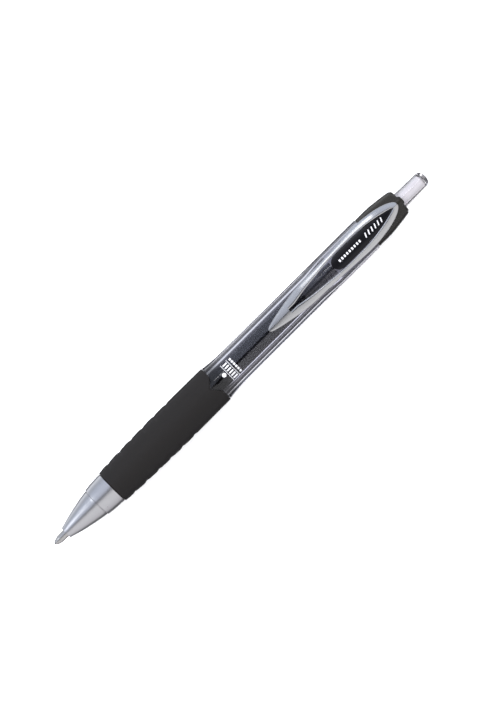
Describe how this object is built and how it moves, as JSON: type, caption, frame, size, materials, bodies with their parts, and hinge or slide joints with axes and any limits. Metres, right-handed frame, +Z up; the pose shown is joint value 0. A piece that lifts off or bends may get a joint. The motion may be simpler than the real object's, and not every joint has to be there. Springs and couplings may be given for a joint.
{
  "type": "retractable gel pen",
  "caption": "Click-action gel pen with a rubber grip, a smoky clear barrel, a plated nose and a spear clip; the button drives the refill in and out.",
  "frame": {"origin": "under the middle of the pen's length, on the surface that the grip lies on", "axes": "+X along the pen from the writing point to the push button, +Z up towards the clip, +Y to the left of that direction"},
  "size_m": [0.144, 0.0118, 0.0138],
  "materials": {
    "nose_cone": "satin",
    "rubber_grip": "matte",
    "barrel": "gloss",
    "end_cap": "satin",
    "guide_sleeve": "satin",
    "clip": "polished",
    "clip_inlay": "gloss",
    "push_button": "gloss",
    "thrust_cam": "satin",
    "rotor": "satin",
    "refill_tube": "satin",
    "ink_column": "gloss",
    "ink_follower": "gloss",
    "tail_plug": "matte",
    "point_holder": "satin",
    "check_ball": "polished",
    "point_housing": "satin",
    "ball_spring": "satin",
    "point_ball": "polished",
    "return_spring": "polished"
  },
  "bodies": {
    "pen_body": {"barrel": "barrel", "rubber_grip": "rubber_grip", "nose_cone": "nose_cone", "end_cap": "end_cap", "guide_sleeve": "guide_sleeve", "return_spring": "return_spring"},
    "clip_unit": {"clip": "clip", "clip_inlay": "clip_inlay"},
    "button_unit": {"push_button": "push_button", "thrust_cam": "thrust_cam"},
    "refill": {"refill_tube": "refill_tube", "ink_column": "ink_column", "ink_follower": "ink_follower", "tail_plug": "tail_plug", "point_holder": "point_holder", "check_ball": "check_ball", "point_housing": "point_housing", "ball_spring": "ball_spring"},
    "cam_rotor": {"rotor": "rotor"},
    "writing_ball": {"point_ball": "point_ball"}
  },
  "joints": [
    {"name": "button_press", "type": "slide", "parent": "pen_body", "child": "button_unit", "axis": [-1, 0, 0], "range_m": [-0.005, 0.0014], "stiffness_N_per_m": 150},
    {"name": "refill_slide", "type": "slide", "parent": "pen_body", "child": "refill", "axis": [-1, 0, 0], "range_m": [-0.005, 0.0014], "deforming": ["return_spring"]},
    {"name": "rotor_turn", "type": "hinge", "parent": "refill", "child": "cam_rotor", "pos_m": [0.041, 0, 0.00593], "axis": [1, 0, 0], "range_deg": [-35.2, 9.9]},
    {"name": "ball_roll", "type": "hinge", "parent": "refill", "child": "writing_ball", "pos_m": [-0.0715, 0, 0.00593], "axis": [0, 1, 0], "continuous": true},
    {"name": "clip_flex", "type": "hinge", "parent": "pen_body", "child": "clip_unit", "pos_m": [0.0582, 0, 0.01033], "axis": [0, 1, 0], "range_deg": [0, 4], "stiffness_Nm_per_rad": 2, "springref_deg": -1.15}
  ],
  "couplings": [
    {"joint": "refill_slide", "follows": "button_press", "ratio": 1},
    {"joint": "rotor_turn", "follows": "button_press", "rad_per_m": 122.72}
  ]
}
